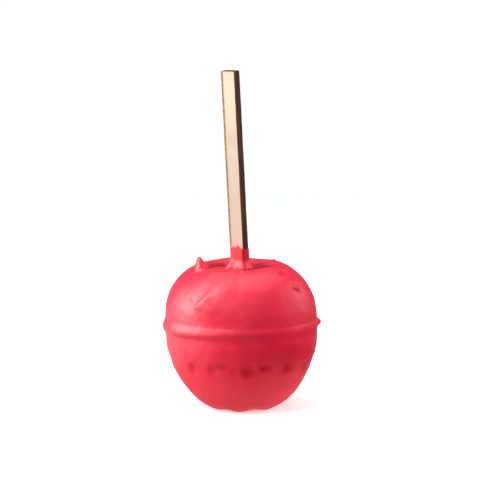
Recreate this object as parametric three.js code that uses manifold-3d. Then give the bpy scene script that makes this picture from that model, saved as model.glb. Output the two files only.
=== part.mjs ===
// A toffee apple: a whole apple under a thick satin candy coating, on a flat wooden stick.
// Millimetres. +Z is up, -Y is the front, and z = 0 is the table the apple stands on.
// Azimuths are in degrees about the apple's axis: 0 is +X, -90 is the front, 180 is -X.

import * as THREE from 'three';
import { mergeVertices } from 'three/addons/utils/BufferGeometryUtils.js';
import Module from 'manifold-3d';

const wasm = await Module();
wasm.setup();

// Driving dimensions of the coated apple.
const apple = {
  radius: 37.7,          // half the width across the belly
  top: 72,               // height of the rim round the well
  rimRadius: 19.5,       // ring on which the rim is highest
  bellySwell: 0.35,
  bellyHigh: 46,         // the shoulder starts to curve in here
  bellyLow: 39,          // the flank starts to curve in here
  shoulderFullness: 2.04,  // 2 is an ellipse, more is squarer
  flankFullness: 1.77,
  footRing: 12.8,        // ring on which the base lobes touch the table
  basinDepth: 3,         // hollow under the middle of the base
  sink: 0.3,             // how far the base lobes would reach below the table
  footShift: 0.8,        // the base sits this far towards +X of the belly
};

// The lobes that show as swellings of the rim: how far each is raised and pushed out.
const rimLobes = [
  { azimuth: -36, rise: 1.8, reach: 0.7 },
  { azimuth: 42, rise: 1.3, reach: 0.8 },
  { azimuth: 100, rise: 0.7, reach: 0.4 },
  { azimuth: 155, rise: 0.7, reach: 0.2 },
  { azimuth: 232, rise: 1.4, reach: 0.6 },
];
const rimLobeWidth = 27;

// The lobes the base stands on, with valleys between them.
const baseLobes = {
  azimuths: [-90, -30, 38, 142, 210],
  halfWidth: 22,
  valleyRise: 1.5,
  valleyPinch: 1.1,
};

// The flat stick, pushed down into the apple.
const stick = {
  width: 8,
  thickness: 4,
  length: 134,
  corner: 0.3,
  turn: -35,             // degrees about its own length
  lean: 2.9,             // degrees towards -X
  crossing: { x: -1.05, z: 80 },   // where its axis passes the collar
  top: 169.6,
};
const clearance = 0.3;   // gap left round the stick

// The coating drawn up the stick: a flared foot in the well, then a thin film.
const collar = {
  wall: 0.6,             // film thickness
  filmStart: 75.5,
  filmTop: 80.8,
  waviness: 0.5,
  flare: 5.4,            // how far the foot spreads from the stick
  flarePower: 2.2,
  sharpness: 6,          // squareness of the section where it hugs the stick
};
const well = {
  depth: 4.6,
  webs: [                // coating bridging the well, as azimuth, half width and rise
    { azimuth: -84, halfWidth: 15, rise: 2.8 },
    { azimuth: 186, halfWidth: 30, rise: 1.8 },
  ],
};

// A raised band of set coating right round the belly, strongest at the left.
const band = {
  height: 42.6,
  tilt: 1.5,             // it sits this much higher at +X
  proudLeast: 0.15,
  proudMost: 1.45,
  fullest: 168,          // azimuth where it stands out most
  drop: 1.3,             // how fast it fades away from there
  above: 3.4,
  below: 2.1,
};

// A row of dimples round the lower flank. The first ones are the front ones, left to right.
const dimples = {
  front: [
    { azimuth: -134.6, z: 23.9, halfWidth: 2.2, halfHeight: 3.1, depth: 0.7 },
    { azimuth: -112.5, z: 24.2, halfWidth: 3.4, halfHeight: 3.3, depth: 0.8 },
    { azimuth: -85.5, z: 24.3, halfWidth: 3.2, halfHeight: 3.3, depth: 0.8 },
    { azimuth: -70.0, z: 26.4, halfWidth: 3.6, halfHeight: 2.6, depth: 0.7 },
    { azimuth: -49.5, z: 25.6, halfWidth: 3.0, halfHeight: 3.2, depth: 0.8 },
    { azimuth: -28.5, z: 24.5, halfWidth: 2.4, halfHeight: 3.2, depth: 0.8 },
  ],
  others: 11,
  firstOther: -7,
  spacing: 21,
  height: 24,
};

// A V-shaped dent at the left front, with a swelling along its right arm.
const dent = {
  azimuth: -127.4,
  z: 55.4,
  leftArm: 147,          // direction of each arm in degrees, seen from outside
  rightArm: 48,
  depth: 0.8,
  leftEdge: 1.0,         // how wide each side wall is
  rightEdge: 3.4,
  fade: 13,
  swelling: 0.55,
  swellingWidth: 3.4,
};
const blemishes = [
  { azimuth: -31.5, z: 63.6, halfWidth: 2.6, halfHeight: 2.0, depth: 0.8 },
  { azimuth: -36, z: 69.3, halfWidth: 2.4, halfHeight: 1.8, depth: 0.45 },
  { azimuth: -55, z: 69.8, halfWidth: 2.4, halfHeight: 1.8, depth: 0.35 },
];

// Drawn-up points of coating: a peak on the shoulder and a nub on the belly.
const peak = { azimuth: 194, z: 71.8, radius: 3.1, height: 5.0, blunt: 0.62, sunk: 3 };
const nub = { azimuth: 1, z: 42.9, radius: 2.3, height: 1.9, blunt: 0.62, sunk: 2.5 };
const swellings = [      // soft feet of coating under the two points
  { azimuth: peak.azimuth, z: peak.z, halfWidth: 4.5, halfHeight: 4.5, depth: -0.45 },
  { azimuth: nub.azimuth, z: nub.z - 1, halfWidth: 3.2, halfHeight: 3.4, depth: -0.5 },
];

// Mesh density: columns round the axis, and the row spacing wanted along the outline.
const columns = 90;
const rowPitch = { plain: 3.1, dimples: 1.5, band: 1.25, collar: 2.2 };
const farthestPatch = 12;   // no dimple or blemish is felt beyond this

const { degToRad, smoothstep, lerp, clamp } = THREE.MathUtils;
const cosd = (angle) => Math.cos(degToRad(angle));
const sind = (angle) => Math.sin(degToRad(angle));
const bump = (x) => Math.exp(-x * x);

// Smallest signed difference of two azimuths, in degrees.
function turnBetween(from, to) {
  return ((to - from + 540) % 360 + 360) % 360 - 180;
}

// Repeatable number from -1 to 1 for item i.
function wobble(i, salt) {
  const value = Math.sin(i * 12.9898 + salt * 78.233) * 43758.5453;
  return (value - Math.floor(value)) * 2 - 1;
}

// ---- Outline ----------------------------------------------------------------
// The outline runs from the middle of the base to the top of the collar in unit sections.

// A quarter of a superellipse: sideways and upward shares at a fraction of the way round.
function quarter(fraction, fullness) {
  const angle = fraction * Math.PI / 2;
  const power = 2 / fullness;
  return [Math.cos(angle) ** power, Math.sin(angle) ** power];
}

function basin(u) {
  return [apple.footRing * u, apple.basinDepth * (1 - u * u) ** 2];
}

function flank(u) {
  const [down, out] = quarter(u, apple.flankFullness);
  return [lerp(apple.footRing, apple.radius, out), apple.bellyLow * (1 - down)];
}

function belly(u) {
  const swell = apple.bellySwell * Math.sin(Math.PI * u);
  return [apple.radius + swell, lerp(apple.bellyLow, apple.bellyHigh, u)];
}

function shoulder(u) {
  const [out, up] = quarter(u, apple.shoulderFullness);
  return [lerp(apple.rimRadius, apple.radius, out), lerp(apple.bellyHigh, apple.top, up)];
}

const outerSections = [basin, flank, belly, shoulder];
const wellSection = outerSections.length;
const flareSection = wellSection + 1;
const filmSection = wellSection + 2;
const capSection = wellSection + 3;
const lastStation = wellSection + 4;

// Plain radius and height of the outer skin at a station.
function outerPoint(station) {
  const section = clamp(Math.floor(station), 0, wellSection - 1);
  return outerSections[section](station - section);
}

// Outward normal of the outer skin, as [radial, upward].
function outerNormal(station) {
  const step = 0.002;
  const [r0, z0] = outerPoint(Math.max(station - step, 0));
  const [r1, z1] = outerPoint(Math.min(station + step, wellSection));
  const length = Math.hypot(r1 - r0, z1 - z0);
  return [(z1 - z0) / length, -(r1 - r0) / length];
}

// Radius of the plain side of the apple at a height.
function sideRadius(z) {
  if (z > apple.bellyHigh) {
    const up = Math.min((z - apple.bellyHigh) / (apple.top - apple.bellyHigh), 1);
    const out = (1 - up ** apple.shoulderFullness) ** (1 / apple.shoulderFullness);
    return lerp(apple.rimRadius, apple.radius, out);
  }
  if (z < apple.bellyLow) {
    const down = clamp(1 - z / apple.bellyLow, 0, 1);
    const out = (1 - down ** apple.flankFullness) ** (1 / apple.flankFullness);
    return lerp(apple.footRing, apple.radius, out);
  }
  return apple.radius;
}

// ---- Relief -----------------------------------------------------------------

// A flat frame laid on the side of the apple: where a point lies across and up from its middle.
function patchAt(azimuth, z) {
  const radius = sideRadius(z);
  const slope = sideRadius(z + 0.2) - sideRadius(z - 0.2);
  const middle = new THREE.Vector3(radius * cosd(azimuth), radius * sind(azimuth), z);
  const across = new THREE.Vector3(-sind(azimuth), cosd(azimuth), 0);
  const up = new THREE.Vector3(slope * cosd(azimuth), slope * sind(azimuth), 0.4).normalize();
  return (point) => {
    const offset = point.clone().sub(middle);
    return [offset.dot(across), offset.dot(up), offset.length()];
  };
}

const dimplePatches = [];
for (const spot of dimples.front) {
  dimplePatches.push({ ...spot, locate: patchAt(spot.azimuth, spot.z) });
}
for (let i = 0; i < dimples.others; i++) {
  const azimuth = dimples.firstOther + dimples.spacing * i + 2.5 * wobble(i, 1);
  const z = dimples.height + 1.1 * wobble(i, 2);
  dimplePatches.push({
    halfWidth: 3 + 0.7 * wobble(i, 3),
    halfHeight: 3 + 0.5 * wobble(i, 4),
    depth: 0.7 + 0.15 * wobble(i, 5),
    locate: patchAt(azimuth, z),
  });
}
const spotPatches = [...blemishes, ...swellings]
  .map((spot) => ({ ...spot, locate: patchAt(spot.azimuth, spot.z) }));
const dentPatch = patchAt(dent.azimuth, dent.z);

function hollows(point, patches) {
  let depth = 0;
  for (const patch of patches) {
    const [across, up, away] = patch.locate(point);
    if (away > farthestPatch) continue;
    const x = across / patch.halfWidth;
    const y = up / patch.halfHeight;
    depth += patch.depth * Math.exp(-((x * x + y * y) ** 2));   // flat middle, firm edge
  }
  return depth;
}

// The V: everything above both arms is pressed in, and fades out upwards.
function dentRelief(point) {
  const [across, up, away] = dentPatch(point);
  if (away > 2 * dent.fade) return 0;
  const insideLeft = across * sind(dent.leftArm) - up * cosd(dent.leftArm);
  const insideRight = -across * sind(dent.rightArm) + up * cosd(dent.rightArm);
  const along = across * cosd(dent.rightArm) + up * sind(dent.rightArm);
  const fading = 1 - smoothstep(up, 2, dent.fade);
  const pressed = smoothstep(insideLeft, 0, dent.leftEdge)
    * smoothstep(insideRight, 0, dent.rightEdge) * fading;
  const swollen = bump((insideRight + 1) / dent.swellingWidth)
    * smoothstep(along, -2, 3) * (1 - smoothstep(along, 9, 18));
  return dent.swelling * swollen - dent.depth * pressed;
}

function bandRelief(azimuth, z) {
  const fromCrest = z - band.height - band.tilt * cosd(azimuth);
  const share = (0.5 + 0.5 * cosd(azimuth - band.fullest)) ** band.drop;
  const proud = lerp(band.proudLeast, band.proudMost, share);
  return proud * bump(fromCrest / (fromCrest > 0 ? band.above : band.below));
}

// Broad unevenness of the fruit under the coating.
function undulation(azimuth, z) {
  return 0.22 * Math.sin(degToRad(2 * azimuth) + 0.06 * z)
    + 0.16 * Math.sin(degToRad(3 * azimuth) - 0.11 * z + 1.3)
    + 0.1 * Math.sin(degToRad(5 * azimuth) + 0.17 * z + 0.4);
}

// 1 in the valleys between the base lobes, 0 on the middle of each lobe.
function baseValley(azimuth) {
  let lobe = 0;
  for (const middle of baseLobes.azimuths) {
    lobe += bump(turnBetween(middle, azimuth) / baseLobes.halfWidth);
  }
  return 1 - Math.min(lobe, 1);
}

// Share of each rim lobe felt at an azimuth: [rise, reach].
function rimLobesAt(azimuth) {
  let rise = 0;
  let reach = 0;
  for (const lobe of rimLobes) {
    const share = bump(turnBetween(lobe.azimuth, azimuth) / rimLobeWidth);
    rise += lobe.rise * share;
    reach += lobe.reach * share;
  }
  return [rise - 0.5, reach - 0.6];
}

// ---- Skin -------------------------------------------------------------------

function outerSkin(station, azimuth) {
  const [radius, height] = outerPoint(station);
  const [normalOut, normalUp] = outerNormal(station);
  const plain = new THREE.Vector3(radius * cosd(azimuth), radius * sind(azimuth), height);
  const side = smoothstep(height, 3, 12);
  const relief = (bandRelief(azimuth, height) + undulation(azimuth, height)
    + dentRelief(plain) - hollows(plain, dimplePatches) - hollows(plain, spotPatches))
    * (station > 1 ? side : 0);
  const [rise, reach] = rimLobesAt(azimuth);
  const nearRim = smoothstep(height, apple.bellyHigh + 4, apple.top);
  const valley = baseValley(azimuth);
  const nearBase = 1 - smoothstep(height, 0, 15);
  const underEdge = smoothstep(radius, 3, apple.footRing);
  const r = radius + normalOut * relief + reach * nearRim
    - baseLobes.valleyPinch * valley * nearBase * underEdge;
  const z = height + normalUp * relief + rise * nearRim
    + (baseLobes.valleyRise * valley * underEdge - apple.sink) * nearBase;
  const shift = apple.footShift * (1 - smoothstep(height, 0, apple.bellyLow));
  return new THREE.Vector3(r * cosd(azimuth) + shift, r * sind(azimuth), z);
}

// Sideways place of the stick's axis at a height.
function stickAxisX(z) {
  return stick.crossing.x - (z - stick.crossing.z) * Math.tan(degToRad(stick.lean));
}

// A ring round the stick at a height, a given distance off its faces.
function ringRoundStick(azimuth, z, offset, sharpness) {
  const halfWidth = stick.width / 2 + offset;
  const halfDepth = stick.thickness / 2 + offset;
  const local = azimuth - stick.turn;
  const reach = (Math.abs(cosd(local) / halfWidth) ** sharpness
    + Math.abs(sind(local) / halfDepth) ** sharpness) ** (-1 / sharpness);
  return new THREE.Vector3(stickAxisX(z) + reach * cosd(azimuth), reach * sind(azimuth), z);
}

function wellFloor(azimuth) {
  let floor = apple.top - well.depth;
  for (const web of well.webs) {
    floor += web.rise * bump(turnBetween(web.azimuth, azimuth) / web.halfWidth);
  }
  return floor;
}

const filmOffset = clearance + collar.wall;

// Flared foot of the collar: 0 is out in the well, 1 is where the film starts.
function flareSkin(u, azimuth) {
  const z = lerp(wellFloor(azimuth), collar.filmStart, u);
  const offset = filmOffset + collar.flare * (1 - u) ** collar.flarePower;
  return ringRoundStick(azimuth, z, offset, lerp(2.6, collar.sharpness, u));
}

function wellSkin(u, azimuth) {
  const rim = outerSkin(wellSection, azimuth);
  const foot = flareSkin(0, azimuth);
  const skin = rim.clone().lerp(foot, u);
  skin.z = lerp(rim.z, foot.z, u * u * (3 - 2 * u));
  return skin;
}

function filmSkin(u, azimuth) {
  const wave = Math.sin(degToRad(3 * azimuth) + 0.6) + 0.6 * Math.sin(degToRad(7 * azimuth));
  const edge = collar.filmTop + collar.waviness * 0.6 * wave;
  return ringRoundStick(azimuth, lerp(collar.filmStart, edge, u), filmOffset, collar.sharpness);
}

// The film's top edge, closed over the stick; the slot for the stick is cut afterwards.
function capSkin(u, azimuth) {
  const edge = filmSkin(1, azimuth);
  const middle = new THREE.Vector3(stickAxisX(collar.filmTop), 0, collar.filmTop);
  return edge.lerp(middle, u);
}

function skin(station, azimuth) {
  if (station <= wellSection) return outerSkin(station, azimuth);
  if (station <= flareSection) return wellSkin(station - wellSection, azimuth);
  if (station <= filmSection) return flareSkin(station - flareSection, azimuth);
  if (station <= capSection) return filmSkin(station - filmSection, azimuth);
  return capSkin(station - capSection, azimuth);
}

// Row stations, close together where there is relief to carry and wider apart elsewhere.
function rowStations() {
  const samples = 4000;
  const stations = [0];
  let travelled = 0;
  let before = skin(0, 0);
  for (let i = 1; i < samples; i++) {
    const station = lastStation * i / samples;
    const here = skin(station, 0);
    let pitch = rowPitch.plain;
    if (station > wellSection) pitch = rowPitch.collar;
    else if (Math.abs(here.z - band.height) < 6.5) pitch = rowPitch.band;
    else if (Math.abs(here.z - dimples.height) < 5.5) pitch = rowPitch.dimples;
    travelled += here.distanceTo(before) / pitch;
    if (travelled >= 1) {
      stations.push(station);
      travelled -= 1;
    }
    before = here;
  }
  stations.push(lastStation);
  return stations;
}

// ---- Solids -----------------------------------------------------------------

// A closed geometry as a manifold solid, with its shared vertices merged.
function toSolid(geometry) {
  const bare = geometry.clone();
  bare.deleteAttribute('normal');
  bare.deleteAttribute('uv');
  const merged = mergeVertices(bare, 1e-5);
  const triangles = [];
  for (let i = 0; i < merged.index.count; i += 3) {
    const [a, b, c] = [0, 1, 2].map((k) => merged.index.getX(i + k));
    if (a !== b && b !== c && c !== a) triangles.push(a, b, c);
  }
  return new wasm.Manifold(new wasm.Mesh({
    numProp: 3,
    vertProperties: new Float32Array(merged.attributes.position.array),
    triVerts: new Uint32Array(triangles),
  }));
}

function toGeometry(solid) {
  const mesh = solid.getMesh();
  const geometry = new THREE.BufferGeometry();
  geometry.setAttribute('position', new THREE.BufferAttribute(mesh.vertProperties, 3));
  geometry.setIndex(new THREE.BufferAttribute(mesh.triVerts, 1));
  geometry.computeVertexNormals();
  return geometry;
}

// The skin: a unit lathe whose height is the station, with every point moved to its place.
function appleGeometry() {
  const stations = rowStations();
  const unit = stations.map((station, i) => {
    const atPole = i === 0 || i === stations.length - 1;
    return new THREE.Vector2(atPole ? 0 : 1, station);
  });
  const geometry = new THREE.LatheGeometry(unit, columns).rotateX(Math.PI / 2);
  const position = geometry.attributes.position;
  for (let i = 0; i < position.count; i++) {
    const station = stations[i % stations.length];
    const column = Math.floor(i / stations.length) % columns;
    const point = skin(station, column * 360 / columns - 90);
    position.setXYZ(i, point.x, point.y, point.z);
  }
  return geometry;
}

// A blunt point of coating standing on its own foot along +Z.
function dripGeometry({ radius, height, blunt, sunk }) {
  const outline = [new THREE.Vector2(0, -sunk), new THREE.Vector2(radius, -sunk)];
  const steps = 7;
  for (let i = 0; i <= steps; i++) {
    const up = 1 - (1 - i / steps) ** 1.5;
    outline.push(new THREE.Vector2(radius * (1 - up) ** blunt, height * up));
  }
  return new THREE.LatheGeometry(outline, 18).rotateX(Math.PI / 2);
}

// The stick's bar, standing on its own middle line, with its outline grown by an offset.
function barGeometry(offset, length) {
  const halfWidth = stick.width / 2 + offset;
  const halfDepth = stick.thickness / 2 + offset;
  const { corner } = stick;
  const section = new THREE.Shape();
  section.moveTo(-halfWidth + corner, -halfDepth);
  section.lineTo(halfWidth - corner, -halfDepth);
  section.lineTo(halfWidth, -halfDepth + corner);
  section.lineTo(halfWidth, halfDepth - corner);
  section.lineTo(halfWidth - corner, halfDepth);
  section.lineTo(-halfWidth + corner, halfDepth);
  section.lineTo(-halfWidth, halfDepth - corner);
  section.lineTo(-halfWidth, -halfDepth + corner);
  section.closePath();
  return new THREE.ExtrudeGeometry(section, { depth: length, bevelEnabled: false });
}

const coatingMaterial = new THREE.MeshStandardMaterial({
  color: 0xdb3f4f, roughness: 0.45, metalness: 0,
});
const woodMaterial = new THREE.MeshStandardMaterial({
  color: 0xe6cfb3, roughness: 0.7, metalness: 0,
});

const stickMesh = new THREE.Mesh(barGeometry(0, stick.length), woodMaterial);
stickMesh.name = 'stick';
const stickFoot = stick.top - stick.length * cosd(stick.lean);
stickMesh.position.set(stickAxisX(stickFoot), 0, stickFoot);
stickMesh.rotation.set(0, -degToRad(stick.lean), degToRad(stick.turn), 'YXZ');
stickMesh.updateMatrix();

function coatedApple() {
  const slot = barGeometry(clearance, stick.length).translate(0, 0, -clearance);
  const peakRadius = sideRadius(peak.z);
  const tip = dripGeometry(peak)
    .translate(peakRadius * cosd(peak.azimuth), peakRadius * sind(peak.azimuth), peak.z);
  const nubFoot = sideRadius(nub.z) + 0.2;
  const side = dripGeometry(nub).rotateY(Math.PI / 2).translate(nubFoot, 0, nub.z)
    .rotateZ(degToRad(nub.azimuth));
  const table = new THREE.BoxGeometry(100, 100, 10).translate(0, 0, -5);
  return toSolid(appleGeometry())
    .add(toSolid(tip))
    .add(toSolid(side))
    .subtract(toSolid(table))
    .subtract(toSolid(slot.applyMatrix4(stickMesh.matrix)));
}

const appleMesh = new THREE.Mesh(toGeometry(coatedApple()), coatingMaterial);
appleMesh.name = 'coated_apple';

const group = new THREE.Group();
group.add(appleMesh, stickMesh);

export default group;
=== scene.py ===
import math

import bmesh
import bpy
import numpy as np
from mathutils import Matrix, Vector


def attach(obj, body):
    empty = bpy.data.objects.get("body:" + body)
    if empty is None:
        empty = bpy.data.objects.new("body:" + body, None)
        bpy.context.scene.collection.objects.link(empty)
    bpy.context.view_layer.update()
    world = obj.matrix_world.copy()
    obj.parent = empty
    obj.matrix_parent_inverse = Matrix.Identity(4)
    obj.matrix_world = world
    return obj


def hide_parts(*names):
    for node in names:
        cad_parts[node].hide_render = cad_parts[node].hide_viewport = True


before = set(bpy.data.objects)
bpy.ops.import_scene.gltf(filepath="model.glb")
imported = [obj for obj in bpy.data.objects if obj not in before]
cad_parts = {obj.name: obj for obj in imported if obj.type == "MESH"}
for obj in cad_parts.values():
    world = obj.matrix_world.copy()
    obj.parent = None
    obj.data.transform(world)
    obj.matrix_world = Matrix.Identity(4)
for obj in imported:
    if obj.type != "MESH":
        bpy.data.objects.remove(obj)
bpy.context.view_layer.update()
print("frame loaded:", ", ".join(sorted(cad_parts)))

# The shapes' sizes are in millimetres and degrees, and this turns them into metres. The
# studio's sizes, and the wood's reaches up the stick, are in metres.
# +Z is up and -Y the front. Azimuths run about the apple's axis: 0 is +X, -90 the front.
mm = 0.001


def cosDeg(angle):
    return np.cos(np.radians(angle))


def sinDeg(angle):
    return np.sin(np.radians(angle))


def bump(x):
    return np.exp(-x * x)


def mix(a, b, share):
    return a + (b - a) * share


def smoothStep(x, low, high):
    t = np.clip((x - low) / (high - low), 0, 1)
    return t * t * (3 - 2 * t)


def softPositive(x, softness):
    return softness * np.logaddexp(0, x / softness)


def turnBetween(start, end):
    return (end - start + 180) % 360 - 180


# Smooth unevenness in space: a sum of plane waves with seeded directions.
def ripple(x, y, z, seed, shortest, longest, waves=16):
    draw = np.random.default_rng(seed)
    total = np.zeros_like(x)
    for _ in range(waves):
        direction = draw.normal(size=3)
        direction /= np.linalg.norm(direction)
        turns = 2 * math.pi / draw.uniform(shortest, longest)
        along = x * direction[0] + y * direction[1] + z * direction[2]
        total += np.sin(turns * along + draw.uniform(0, 2 * math.pi))
    return total / math.sqrt(waves)


# The apple under its coating.
apple = {
    "radius": 37.7,
    "top": 72.0,
    "rimRadius": 19.5,
    "bellySwell": 0.35,
    "bellyHigh": 46.0,
    "bellyLow": 39.0,
    "shoulderFullness": 2.04,
    "flankFullness": 1.77,
    "footRing": 12.8,
    "basinDepth": 3.0,
    "sink": 0.3,
    "footShift": 0.8,
    "rimLobes": [  # azimuth, rise, reach
        (-90, 0.5, 0.2),
        (-36, 1.6, 0.5),
        (42, 1.1, 0.6),
        (100, 1.1, 0.4),
        (155, 0.6, 0.1),
        (232, 1.3, 0.5),
    ],
    "rimLobeWidth": 27,
    "rimLobeMean": (0.5, 0.6),
    "rimStart": 50.0,  # the rim's lobes begin at this height
    "swells": [  # azimuth, height, reach round in degrees, reach up, rise
        (180, 54, 42, 10, 0.6),
        (-8, 31, 42, 10, 0.8),
        (185, 69, 38, 5, -0.5),
        (5, 71, 38, 5, -0.6),
    ],
    "baseLobes": (-97, -37, 35, 125, 213),
    "baseLobeWidth": 19,
    "baseLobeHeight": 5,
    "valleyRise": 1.0,
    "valleyPinch": 0.5,
    "valleyStart": 3,  # distance from the axis at which the valleys begin
    "sinkReach": 15,
    "reliefStart": (3, 12),  # heights between which the side's relief fades in
    "fold": (-93, 4, 0.3),  # azimuth, half width, depth of the crease between the front lobes
    "foldReach": (56, 70),
}

# The stick, and the coating drawn up it.
stick = {
    "width": 8.05,
    "thickness": 4.8,
    "length": 134.0,
    "turn": -35.0,
    "lean": 2.9,
    "crossingX": -0.9,  # where its middle line passes the collar
    "crossingZ": 80.0,
    "top": 169.6,
    "bevel": 0.22,
    "wander": 0.05,  # unevenness of the cut edges
    "wanderWaves": (21, 3, 14),  # seed, shortest and longest wave
    "wanderStretch": (0.3, 0.3, 1),
    "cutEvery": 2,
    "cutsAcross": (-3.2, -1.6, 0, 1.6, 3.2),
}
collar = {
    "film": 0.34,
    "bite": -0.05,  # the inner face of the film sits this far off the wood
    "thicker": [(-12, 30, 0.12), (180, 22, -0.2)],  # azimuth, half width, change of the film
    "filmStart": 75.6,
    "filmTop": 80.3,
    "flare": 0.03,  # how far it spreads for each square millimetre below the film
    "flares": [(174, 20, 0.14), (-98, 30, 0.06), (-20, 34, 0.04)],  # azimuth, half width, more
    "sharpness": 7.0,  # how square its section is, and below at its foot
    "footSharpness": 2.6,
    "lipRounding": 0.5,  # share of the film
    "socketGap": 0.2,
    "wellDepth": 5.4,
    "footShadeTop": 70.2,  # below this height round the foot the painted shade is full
    "footShadeFade": 1.2,
    "wellShade": 0.8,  # painted shade all over the well
    "sideShade": 0.55,  # and on the film over the scorched sides of the stick: partly the dark wood showing through, partly painted shade
    "wellFade": (0.1, 0.4),  # this and the next three are in stations from the end of a stretch
    "footFade": (-0.1, 0.5),
    "filmFade": 0.3,
    "woodFade": (-0.12, 0.06),
    "cornerFade": (-4, 3),  # degrees from the corner of the stick
    # painted shade along the corners of the stick, this many degrees wide
    "cornerLine": 7,
    "webs": [(-99, 32, 3.7), (176, 18, 4.4)],  # azimuth, half width, rise
    "tongues": [  # azimuth, half width, rise of the film's upper edge
        (200, 18, 1.2),
        (-106, 30, 1.95),
        (20, 30, 0.3),
        (95, 25, 0.7),
    ],
}

# What stands out of the coating or is pressed into it.
band = {
    "height": 42.5,
    "tilt": 1.7,
    "highest": -20,  # azimuth at which it stands highest
    "proudLeast": 0.12,
    "proudMost": 1.3,
    "fullest": 172,
    "drop": 1.6,
    "above": 3.4,
    "below": 2.8,
    "lip": 0.8,  # the coat ends in a lip under the crest
    "lipWidth": 2.6,
    "lipFade": 5.5,
    "lipLeast": 0.08,
    "lipMiddle": -125,
    "lipReach": 45,
}
runs = [  # thin upright ridges: azimuth, lowest and highest point, half width, rise
    (-122.5, 40.5, 47.0, 0.35, 0.04),
    (-138.0, 59.5, 66.0, 0.5, 0.09),
]
runTaper = 1.5
dimples = {
    "front": [  # azimuth, height, half width, half height, depth, direction of the firm wall
        (-133.6, 23.7, 3.6, 4.4, 0.6, 150),
        (-113.6, 24.2, 4.6, 4.0, 0.6, 150),
        (-104.0, 26.0, 7.0, 2.8, 0.5, 110),
        (-95.5, 24.0, 3.4, 4.2, 0.4, 60),
        (-83.0, 23.9, 6.2, 5.0, 0.85, 130),
        (-70.5, 26.4, 5.2, 3.4, 0.8, -40),
        (-49.2, 25.4, 5.0, 4.6, 0.85, 150),
        (-27.0, 24.0, 4.0, 4.6, 0.7, 150),
    ],
    "others": 10,
    "firstOther": -5,
    "spacing": 21,
    "height": 24.0,
    "depth": 0.75,
    "seed": 5,
    "draws": {  # ranges drawn for the others, in the same order as in front
        "azimuth": (-2.5, 2.5),
        "height": (-1.1, 1.3),
        "halfWidth": (3.2, 6.2),
        "halfHeight": (2.8, 4.8),
        "depth": (0.5, 1.3),
        "wall": (90, 180),
    },
    "wall": 0.15,  # share of the radius that the firm wall leaves flat
    "edge": 1.1,
    "reach": 14,
    "unevenness": 0.09,
    "unevenWaves": (41, 4, 10),  # seed, shortest and longest wave
    "spotMiddle": (-0.2, 0.12),  # where the painted shade is darkest
    "spotCore": (0.6, 0.74, 1.4),  # share, reach, steepness
    "spotHalo": (0.4, 1.9),
    "fullDepth": 0.9,  # the painted shade is full in dimples as deep as this
}
dent = {
    "azimuth": -125.6,
    "height": 55.9,
    "ridges": [  # direction, distance inwards, half widths inside and outside, rise, start, fade
        (57, -3.6, 5.0, 7.0, 1.3, (-5, 3), (12, 24)),
        (46, 0.1, 1.4, 2.2, 0.62, (-3, 0), (7, 11)),
    ],
    "reach": 30,
}
creases = [  # three places along it (azimuth, height), half width, rise, raggedness, painted shade
    (((-137.2, 59.6), (-131.4, 57.5), (-125.7, 56.3)), 0.46, -0.42, 0.5, 0.7),
    (((-39.0, 66.2), (-34.2, 63.9), (-27.2, 64.3)), 0.45, -0.4, 0.1, 0.95),
    (((-40.4, 65.0), (-34.9, 63.0), (-28.6, 63.1)), 0.5, 0.36, 0.1, 0.0),
    (((-41.1, 63.3), (-36.0, 62.0), (-30.4, 60.4)), 0.95, -0.5, 0.1, 0.95),
    (((-74.0, 43.4), (-63.0, 43.5), (-53.0, 43.4)), 0.3, -0.15, 0.3, 0.5),
]
creaseForm = {
    "reach": 16,
    "places": 41,  # along each crease
    "taper": 0.16,  # share of its length at each end
    "raggedWaves": (31, 0.8, 2.4, 8),  # seed, shortest and longest wave, number
    "raggedMost": 1.4,
}
blemishes = [  # azimuth, height, half width, half height, depth
    (-41.4, 69.7, 2.8, 1.5, 0.35),
    (-45.9, 66.3, 1.6, 1.3, 0.15),
    (-32.4, 67.0, 1.6, 1.3, 0.25),
]
# its third and fourth entries set the painted shade in the pits
blemishForm = {"reach": 12, "steepness": 1.5, "thinness": 0.45, "fullDepth": 0.35}
peak = {
    "azimuth": 202.5,
    "distance": 22.9,
    "radius": 3.9,
    "rise": 6.9,
    "foot": 0.75,
    "steeper": 1.9,
    "reach": 3,  # in radii
    "lastStation": 5.3,
    "colourFrom": 0.25,  # share of the rise above which it has the painted glow of the tips
}
nubs = [  # azimuth, height, radius, rise, foot
    (1, 43.2, 2.2, 1.95, 0.2),
    (47, 71.0, 1.4, 0.7, 0.12),
]
# fullColour is the nub height at which its painted glow is full
nubForm = {"reach": 3, "steepness": 1.5, "fullColour": 1.4}
coat = {
    "columns": 324,
    "rows": 300,
    "closest": -100,  # columns stand closest together at this azimuth
    "closeness": 0.6,
    "waves": [  # number round the apple, height, twist for each millimetre up, start
        (2, 0.22, 0.06, 0),
        (3, 0.16, -0.11, 1.3),
        (5, 0.1, 0.17, 0.4),
    ],
    "ripples": [(11, 9, 22, 0.1), (12, 3.5, 8, 0.025)],  # seed, wavelengths, height
    "rowsAlong": -137.0,  # azimuth along which the rows are spaced
    "rowSamples": 6001,
    "rowWeights": [(1, 0.3), (4, 1.0), (5, 0.8), (7, 1.0), (8, 2.5)],  # up to this station, weight
    "lastRowWeight": 0.04,
    "mergeWithin": 0.002,
}


# The outline runs from the middle of the base to the foot of the socket in unit stations.
stationEnds = {
    "basin": 1, "flank": 2, "belly": 3, "shoulder": 4, "well": 5,
    "flare": 6, "film": 7, "lip": 8, "socket": 9, "socketFloor": 10,
}


def quarter(fraction, fullness):
    angle = np.clip(fraction, 0, 1) * math.pi / 2
    return np.cos(angle) ** (2 / fullness), np.sin(angle) ** (2 / fullness)


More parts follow.
